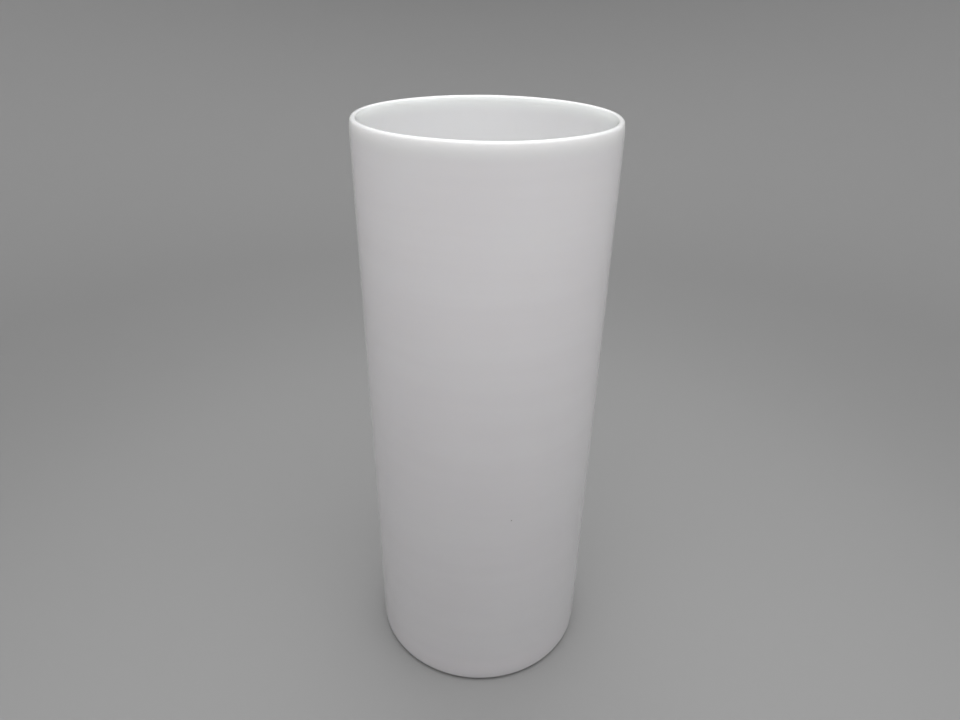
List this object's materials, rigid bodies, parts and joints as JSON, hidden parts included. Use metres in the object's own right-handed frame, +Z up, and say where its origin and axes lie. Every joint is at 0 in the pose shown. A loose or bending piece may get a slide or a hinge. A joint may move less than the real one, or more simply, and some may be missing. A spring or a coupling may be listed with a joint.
{
  "type": "cylinder vase",
  "caption": "Tall straight-sided cylinder vase of opaque white glass with a soft blunt lip and a rounded heel, cased over a thin clear lining, standing on a ground foot ring.",
  "frame": {"origin": "middle of the foot, in the plane the vase stands on", "axes": "+Z up along the vase's axis, towards its mouth; the vase is turned about +Z, so X and Y are free"},
  "size_m": [0.1, 0.1, 0.25],
  "materials": {
    "opal_glass": "opaque white opal glass, smooth and glossy, slightly translucent at the lip; the foot ring is ground matt",
    "clear_glass": "clear polished glass, fused to the white layer behind it"
  },
  "bodies": {
    "root": {"opal_glass_body": "opal_glass", "clear_glass_lining": "clear_glass"}
  },
  "joints": []
}
